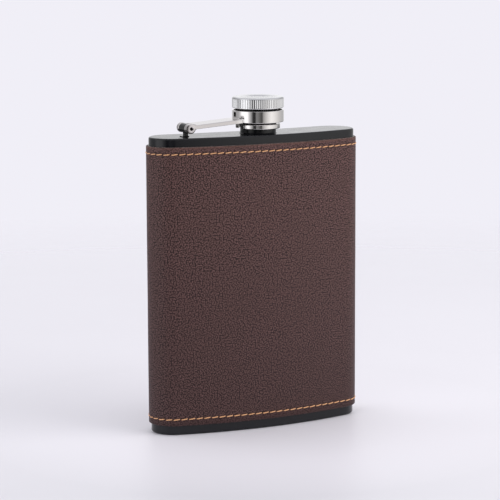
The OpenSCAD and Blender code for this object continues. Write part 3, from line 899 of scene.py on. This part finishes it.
# ---------------------------------------------------------------- floor, light and camera
def floor():
    """A round sheet of paper, in metres, just under the flask."""
    rings, sides, reach, height = 40, 96, 4.0, -0.00002
    radius = reach * (np.arange(rings + 1)[:, None] / rings) ** 2
    a = np.linspace(0, 2 * math.pi, sides, endpoint=False)
    p = np.stack([radius * np.cos(a), radius * np.sin(a), np.full((rings + 1, sides), height)], -1)
    faces = grid_faces(rings + 1, sides, False, True)[:, ::-1]
    mesh = bpy.data.meshes.new("floor")
    mesh.from_pydata(p.reshape(-1, 3).tolist(), [], faces.tolist())
    mesh.update()
    obj = bpy.data.objects.new("floor", mesh)
    scene.collection.objects.link(obj)
    m = Nodes("floor_paper", (0.70, 0.69, 0.73), 0.45, Specular_IOR_Level=0.3)
    plain = m.mix(m.ramp(m.noise(9, 3, 0.5), 0.3, 0.7), (0.79, 0.773, 0.823), (0.805, 0.79, 0.84))
    # painted shade: a little darker in front, towards the camera, and painted light: paler close to the
    # flask
    x, y, _ = m.split()
    near = m.math("ADD", m.math("MULTIPLY", x, -0.4437), m.math("MULTIPLY", y, -0.8962))
    # painted shade on the floor towards the camera
    plain = m.mix(m.ramp(near, 0.03, 0.12), plain, (0.725, 0.715, 0.76))
    far = m.add("ShaderNodeVectorMath", {0: m.coord}, operation="LENGTH").outputs["Value"]
    # painted light close to the flask, lifting its contact shadow
    m.color(m.mix(m.ramp(far, 0.125, 0.07), plain, (0.845, 0.825, 0.88)))
    # the paper fades into the pale backdrop far from the object
    fade = m.ramp(far, 0.12, 0.65)
    clear = m.add("ShaderNodeBsdfTransparent")
    blend = m.add("ShaderNodeMixShader", {0: fade})
    m.tree.links.new(m.bsdf.outputs[0], blend.inputs[1])
    m.tree.links.new(clear.outputs[0], blend.inputs[2])
    out = next(n for n in m.tree.nodes if n.type == "OUTPUT_MATERIAL")
    m.tree.links.new(blend.outputs[0], out.inputs["Surface"])
    mesh.materials.append(m.mat)


floor()


# Brightness round the room as the metal sees it: degrees to the right of the camera, then the value
ROOM = [(-180, 1.10), (-168, 1.0), (-156, 0.55), (-112, 0.43), (-92, 0.56), (-84, 0.95), (-76, 1.52),
        (-48, 1.52), (-43, 1.12), (-38, 0.74), (-32, 0.48), (-27, 0.28), (-23, 0.05), (-11, 0.02),
        (-9, 0.26), (-2, 0.27), (8, 0.17), (15, 0.10), (20, 0.10), (22, 0.36), (31, 0.60), (40, 0.83),
        (52, 1.08), (62, 1.22), (76, 1.12), (90, 0.97), (108, 0.76), (128, 0.64), (156, 0.58),
        (168, 1.12), (179, 1.16)]
CAMERA_TURN = 1.0736                        # where the camera's side lies on a full turn of one


def studio():
    """A pale backdrop, and round it the soft boxes and dark gaps that polished metal shows."""
    world = bpy.data.worlds.new("studio")
    scene.world = world
    world.use_nodes = True
    tree = world.node_tree
    tree.nodes.clear()

    def add(kind, **values):
        node = tree.nodes.new(kind)
        for key, value in values.items():
            setattr(node, key, value)
        return node
    split = add("ShaderNodeSeparateXYZ")
    tree.links.new(add("ShaderNodeTexCoord").outputs["Generated"], split.inputs[0])
    angle = add("ShaderNodeMath", operation="ARCTAN2")
    tree.links.new(split.outputs["X"], angle.inputs[0])
    tree.links.new(split.outputs["Y"], angle.inputs[1])
    # 0.5 on the ramp is straight back towards the camera
    turn = add("ShaderNodeMath", operation="MULTIPLY_ADD")
    tree.links.new(angle.outputs[0], turn.inputs[0])
    turn.inputs[1].default_value = -1 / (2 * math.pi)
    turn.inputs[2].default_value = CAMERA_TURN
    wrap = add("ShaderNodeMath", operation="FRACT")
    tree.links.new(turn.outputs[0], wrap.inputs[0])
    ramp = add("ShaderNodeValToRGB")
    tree.links.new(wrap.outputs[0], ramp.inputs[0])
    stops = ramp.color_ramp.elements
    for k, (degrees, value) in enumerate(ROOM):
        stop = stops[k] if k < 2 else stops.new(1.0)
        stop.position = 0.5 + degrees / 360
        warm = 0.015 if 0 < degrees < 120 else 0.0
        stop.color = (value * (1 + warm), value, value * (1.02 - 2 * warm), 1)
    # overhead soft box
    over = add("ShaderNodeMapRange", interpolation_type="SMOOTHSTEP")
    tree.links.new(split.outputs["Z"], over.inputs["Value"])
    over.inputs["From Min"].default_value = 0.30
    over.inputs["From Max"].default_value = 0.62
    mix = add("ShaderNodeMix", data_type="RGBA")
    tree.links.new(over.outputs[0], mix.inputs[0])
    tree.links.new(ramp.outputs[0], mix.inputs[6])
    mix.inputs[7].default_value = (0.93, 0.93, 0.97, 1)
    room = add("ShaderNodeBackground")
    tree.links.new(mix.outputs[2], room.inputs[0])
    room.inputs[1].default_value = 0.9
    pale = add("ShaderNodeBackground")
    pale.inputs[0].default_value = (0.875, 0.862, 0.930, 1)
    path = add("ShaderNodeLightPath")
    choose = add("ShaderNodeMixShader")
    tree.links.new(path.outputs["Is Camera Ray"], choose.inputs[0])
    tree.links.new(room.outputs[0], choose.inputs[1])
    tree.links.new(pale.outputs[0], choose.inputs[2])
    tree.links.new(choose.outputs[0], add("ShaderNodeOutputWorld").inputs[0])


studio()


def soft_light(name, at, size, watts, color=(1, 1, 1)):
    data = bpy.data.lights.new(name, "AREA")
    data.shape = "RECTANGLE"
    data.size, data.size_y = size
    data.energy = watts
    data.color = color
    obj = bpy.data.objects.new(name, data)
    obj.location = at
    obj.rotation_euler = (Vector((0, 0, 0.07)) - Vector(at)).to_track_quat("-Z", "Y").to_euler()
    obj.visible_camera = False
    obj.visible_glossy = False
    scene.collection.objects.link(obj)


soft_light("key_right", (0.42, -0.38, 0.46), (0.6, 0.6), 2.2, (1.0, 0.98, 0.96))
soft_light("fill_left", (-0.9, -0.35, 0.6), (0.8, 0.9), 0.65, (0.97, 0.98, 1.0))
soft_light("back_left", (-0.55, 0.45, 0.9), (0.6, 0.6), 1.35, (0.98, 0.98, 1.0))


def photo_camera(at, forward, roll):
    data = bpy.data.cameras.new("camera")
    data.sensor_width = 36.0
    data.lens = 160.12
    data.clip_start = 0.01
    camera = bpy.data.objects.new("camera", data)
    scene.collection.objects.link(camera)
    forward = Vector(forward).normalized()
    right = forward.cross(Vector((0, 0, 1))).normalized()
    above = right.cross(forward)
    c, s = math.cos(roll), math.sin(roll)
    basis = Matrix((right * c - above * s, right * s + above * c, -forward)).transposed().to_4x4()
    camera.matrix_world = Matrix.Translation(at) @ basis
    scene.camera = camera


photo_camera((-0.42309, -0.84950, 0.22623), (0.43816, 0.88520, -0.15632), math.radians(0.223))
scene.view_settings.view_transform = "Standard"
scene.view_settings.look = "None"
